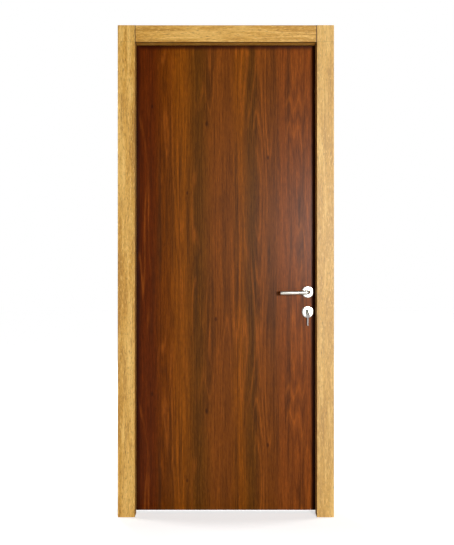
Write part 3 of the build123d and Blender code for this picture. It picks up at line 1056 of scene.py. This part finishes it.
@dataclass
class Roses:
    """The four round roses, gently domed, two of them pierced for the cylinder."""

    centre_x: float = 0.802
    lever_z: float = 0.983
    key_z: float = 0.894
    cylinder_z: float = 0.898
    leaf_middle: float = 0.025
    leaf_half: float = 0.02
    thickness: float = 0.008
    radius: float = 0.026
    bearing: float = 0.00805
    barrel: float = 0.0088
    foot: float = 0.0053
    foot_drop: float = 0.0195
    facets: int = 72
    drill_facets: int = 48
    drill_near: float = -0.01
    drill_far: float = -0.04
    # The rim: how far in from the edge, and how far below the crown.
    rim: tuple[Pair, ...] = ((0.0, 0.0019), (0.0002, 0.0014), (0.0007, 0.00095), (0.0016, 0.00068))
    # The crown: a share of the radius, and how far below its middle.
    crown: tuple[Pair, ...] = ((0.86, 0.00042), (0.72, 0.0002), (0.55, 0.00006), (0.36, 0.0))

    def build(self, finishes: Finishes) -> None:
        """Make both kinds of rose once and put each on both faces.

        Args:
            finishes: the shared finishes.
        """
        for kind, pattern, height in (
            ("lever_rose", self.turn(self.bearing), self.lever_z),
            ("key_rose", self.pierce(self.turn(None)), self.key_z),
        ):
            pattern.data.materials.append(finishes.rose)
            for side, word in ((Side.PUSH, "front"), (Side.PULL, "back")):
                place = Matrix.Translation((self.centre_x, self.leaf_middle, height))
                if side is Side.PULL:
                    place = place @ Matrix.Rotation(math.pi, 4, "Z")
                rose = Bench.copy(pattern, f"turned_{word}_{kind}", place)
                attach(rose, "leaf")
                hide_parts(f"{word}_{kind}")
                log.info("rose: %s made", rose.name)
            bpy.data.objects.remove(pattern)

    def turn(self, hole: Union[float, None]) -> Piece:
        """Turn a domed rose about its own axis.

        Args:
            hole: radius of its round hole, or None where it is left whole.

        Returns:
            The pattern rose.
        """
        seat, top = -self.leaf_half, -self.leaf_half - self.thickness
        dome = [(self.radius, seat)]
        dome += [(self.radius - inset, top + drop) for inset, drop in self.rim]
        dome += [(self.radius * share, top + drop) for share, drop in self.crown]
        if hole is None:
            rose = Bench.ring(ORIGIN, dome, self.facets, True)
        else:
            bore = [(hole, top), (hole, seat), (self.radius, seat)]
            rose = Bench.ring(ORIGIN, dome + bore, self.facets, False)
        Bench.settle(rose, 30.0)
        return rose

    def pierce(self, rose: Piece) -> Piece:
        """Cut the cylinder's outline through a rose.

        Args:
            rose: the whole rose.

        Returns:
            The pierced rose.
        """
        up = self.cylinder_z - self.key_z
        far, near = self.drill_far, self.drill_near
        for radius, height in ((self.barrel, up), (self.foot, up - self.foot_drop)):
            drill = Bench.ring((0.0, 0.0, height), [(radius, near), (radius, far)], self.drill_facets, True)
            Bench.settle(drill)
            Bench.cut(rose, drill)
        Bench.cut(rose, Bench.block((-self.foot, far, up - self.foot_drop), (self.foot, near, up)))
        Bench.settle(rose, 30.0)
        return rose


@dataclass
class PlateScrews:
    """Countersunk cross-head screws of the hinges, the forend and the strike plate."""

    head: float = 0.0038
    sunk: float = 0.0006
    proud: float = 0.0003
    cross: float = 0.0021
    cross_wide: float = 0.0004
    cross_floor: float = 0.15
    # The head: a share of its radius, and a share of how far it stands proud.
    dome: tuple[Pair, ...] = ((1.0, 0.0), (0.94, 0.62), (0.75, 0.9), (0.5, 1.0))
    facets: int = 24
    frame_plate_x: float = 0.022
    door_plate_x: float = 0.027
    hinge_feet: tuple[float, ...] = (0.212, 1.027, 1.842)
    hinge_rises: tuple[float, ...] = (0.012, 0.037, 0.063, 0.088)
    hinge_rows: tuple[float, ...] = (0.0195, 0.031)
    forend_face: Pair = (0.847, 0.025)
    forend_heights: Pair = (0.825, 1.041)
    strike_face: Pair = (0.8535, 0.026)
    strike_heights: Pair = (0.893, 1.033)
    turn_step: float = 7919.0

    def build(self, finishes: Finishes) -> None:
        """Make one screw and copy it to every place.

        Args:
            finishes: the shared finishes.
        """
        pattern = self.turn()
        pattern.data.materials.append(finishes.satin)
        for level, foot in zip(("bottom", "middle", "top"), self.hinge_feet):
            for n, rise in enumerate(self.hinge_rises, start=1):
                y = self.hinge_rows[(n - 1) % len(self.hinge_rows)]
                spots = (
                    (f"{level}_frame_screw_{n}", self.frame_plate_x, Facing.TO_LOCK, "frame"),
                    (f"{level}_leaf_screw_{n}", self.door_plate_x, Facing.TO_HINGES, "leaf"),
                )
                for name, x, facing, body in spots:
                    self.drive(pattern, name, (x, y, foot + rise), facing, body)
        for n, height in enumerate(self.forend_heights, start=1):
            self.drive(pattern, f"forend_screw_{n}", (*self.forend_face, height), Facing.TO_LOCK, "leaf")
        for n, height in enumerate(self.strike_heights, start=1):
            self.drive(pattern, f"strike_screw_{n}", (*self.strike_face, height), Facing.TO_HINGES, "frame")
        bpy.data.objects.remove(pattern)

    def turn(self) -> Piece:
        """Turn a screw head that looks towards the push side and cut its cross.

        Returns:
            The pattern screw.
        """
        rings = [(self.head, self.sunk)]
        rings += [(self.head * share, -self.proud * rise) for share, rise in self.dome]
        screw = Bench.ring(ORIGIN, rings, self.facets, True)
        Bench.settle(screw, 40.0)
        deep = -self.proud * self.cross_floor
        for wide, tall in ((self.cross, self.cross_wide), (self.cross_wide, self.cross)):
            Bench.cut(screw, Bench.block((-wide, -0.002, -tall), (wide, deep, tall)))
        Bench.settle(screw, 40.0)
        return screw

    def drive(self, pattern: Piece, name: str, spot: Point, facing: Facing, body: str) -> None:
        """Drive one screw.

        Args:
            pattern: the screw that is copied.
            name: the copy's name.
            spot: the middle of its head, on the plate's face.
            facing: which way its head looks.
            body: what it moves with.
        """
        slant = Matrix.Rotation(math.radians((spot[2] * self.turn_step) % 90.0), 4, "Y")
        place = Matrix.Translation(spot) @ Matrix.Rotation(facing.value, 4, "Z") @ slant
        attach(Bench.copy(pattern, name, place), body)
        log.info("%s driven", name)


@dataclass
class SoftBox:
    """A lamp behind a white cloth."""

    name: str
    stand: Point
    aim: Point
    width: float
    height: float
    power: float

    def build(self) -> None:
        """Hang the lamp."""
        lamp = bpy.data.lights.new(self.name, "AREA")
        lamp.shape = "RECTANGLE"
        lamp.size, lamp.size_y = self.width, self.height
        lamp.energy = self.power
        holder = bpy.data.objects.new(self.name, lamp)
        holder.location = self.stand
        direction = Vector(self.aim) - Vector(self.stand)
        holder.rotation_euler = direction.to_track_quat("-Z", "Y").to_euler()
        bpy.context.scene.collection.objects.link(holder)
        log.info("lamp %s hung", self.name)


@dataclass
class Studio:
    """The pale floor, the white surroundings and the lamps."""

    floor_half: float = 14.0
    floor_tone: float = 0.8
    near_lift: float = 0.62
    far_lift: float = 0.95
    lift_from: float = 0.7
    lift_to: float = 4.5
    middle: float = 0.43
    floor_drop: float = 0.0006
    room_light: float = 0.04
    mirror_turn: Pair = (-0.94, -0.72)
    mirror_light: Pair = (0.04, 0.7)
    steep_turn: Pair = (0.62, 0.86)
    steep_light: Pair = (1.0, 0.08)
    lamps: tuple[SoftBox, ...] = (
        SoftBox("key_lamp", (2.25, -5.9, 1.45), (0.45, 0.0, 1.1), 0.75, 0.75, 272.0),
        SoftBox("rear_lamp", (-1.6, 4.6, 2.4), (0.45, 0.0, 1.1), 1.6, 1.8, 118.0),
        SoftBox("hinge_side_lamp", (-3.4, 0.9, 1.7), (0.0, 0.05, 1.1), 1.2, 1.4, 80.0),
        SoftBox("lock_side_lamp", (4.3, 0.9, 1.7), (0.9, 0.05, 1.1), 1.2, 1.4, 80.0),
    )

    def build(self) -> None:
        """Set up the studio."""
        self.lay_floor()
        self.light_room()
        for lamp in self.lamps:
            lamp.build()

    def lay_floor(self) -> None:
        """Lay a pale floor that a lens sees as white where nothing shades it."""
        Bench.clear()
        centre = (self.middle, 0.0, -self.floor_drop)
        bpy.ops.mesh.primitive_plane_add(size=2 * self.floor_half, location=centre)
        floor = bpy.context.object
        floor.name = "studio_floor"
        bpy.ops.object.transform_apply(location=True, rotation=True, scale=True)
        sheet = Sheet("studio_floor")
        cloud = sheet.noise(sheet.stretched((3.0, 3.0, 3.0)), 2.0)
        colour = sheet.span(cloud, 0.3, 0.7, self.floor_tone, self.floor_tone + 0.02)
        sheet.dress(sheet.joined(colour, colour, colour), 0.9, specular=0.1)
        path = sheet.nodes.new("ShaderNodeLightPath").outputs
        sheet.shader.inputs["Emission Color"].default_value = (1.0, 1.0, 1.0, 1.0)
        x, y, _ = sheet.parts(sheet.place)
        away = sheet.distance(sheet.number("SUBTRACT", x, self.middle), y)
        raised = sheet.span(away, self.lift_from, self.lift_to, self.near_lift, self.far_lift)
        lift = sheet.number("MULTIPLY", path["Is Camera Ray"], raised)
        sheet.feed(sheet.shader.inputs["Emission Strength"], lift)
        floor.data.materials.append(sheet.material)

    def light_room(self) -> None:
        """Light the room softly, with white where a lens or a polished face sees it."""
        world = bpy.data.worlds.new("studio")
        bpy.context.scene.world = world
        world.use_nodes = True
        world.node_tree.nodes.clear()
        steps = Steps(world.node_tree, "Generated")
        path = steps.nodes.new("ShaderNodeLightPath").outputs
        _, ahead, up = steps.parts(steps.place)
        around = steps.span(ahead, *self.mirror_turn, *self.mirror_light)
        steep = steps.span(steps.number("ABSOLUTE", up), *self.steep_turn, *self.steep_light)
        mirrored = steps.number("MULTIPLY", path["Is Glossy Ray"], steps.number("MULTIPLY", around, steep))
        seen = steps.number("MAXIMUM", path["Is Camera Ray"], path["Is Transmission Ray"])
        white = steps.number("MAXIMUM", seen, mirrored)
        strength = steps.number("MULTIPLY_ADD", white, 1.0 - self.room_light, self.room_light)
        glow = steps.nodes.new("ShaderNodeBackground")
        steps.feed(glow.inputs["Color"], (1.0, 1.0, 1.0))
        steps.feed(glow.inputs["Strength"], strength)
        out = steps.nodes.new("ShaderNodeOutputWorld")
        steps.feed(out.inputs["Surface"], glow.outputs[0])


@dataclass
class PhotographCamera:
    """The camera at the photograph's place, looking level and square at the door."""

    stand: Point = (0.4253, -3.7025, 1.1384)
    lens: float = 55.0
    shift_x: float = 0.00734
    shift_y: float = -0.02844
    sensor: float = 36.0
    nearest: float = 0.05
    farthest: float = 60.0

    def build(self) -> None:
        """Put up the camera."""
        data = bpy.data.cameras.new("photograph_camera")
        data.lens = self.lens
        data.sensor_width = self.sensor
        data.sensor_fit = "AUTO"
        data.shift_x, data.shift_y = self.shift_x, self.shift_y
        data.clip_start, data.clip_end = self.nearest, self.farthest
        camera = bpy.data.objects.new("photograph_camera", data)
        camera.location = self.stand
        camera.rotation_euler = (math.pi / 2, 0.0, 0.0)
        bpy.context.scene.collection.objects.link(camera)
        bpy.context.scene.camera = camera


def main() -> None:
    """Build the door's looks, in order."""
    logging.basicConfig(level=logging.INFO, format="%(name)s: %(message)s")
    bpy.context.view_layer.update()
    PhotographCamera().build()
    finishes = Finishes()
    FrameBoards().build(finishes)
    LeafPanel().build(finishes)
    Ironmongery().build(finishes)
    Levers().build(finishes)
    Roses().build(finishes)
    PlateScrews().build(finishes)
    Studio().build()
    bpy.context.scene.view_settings.view_transform = "Standard"


if __name__ == "__main__":
    main()
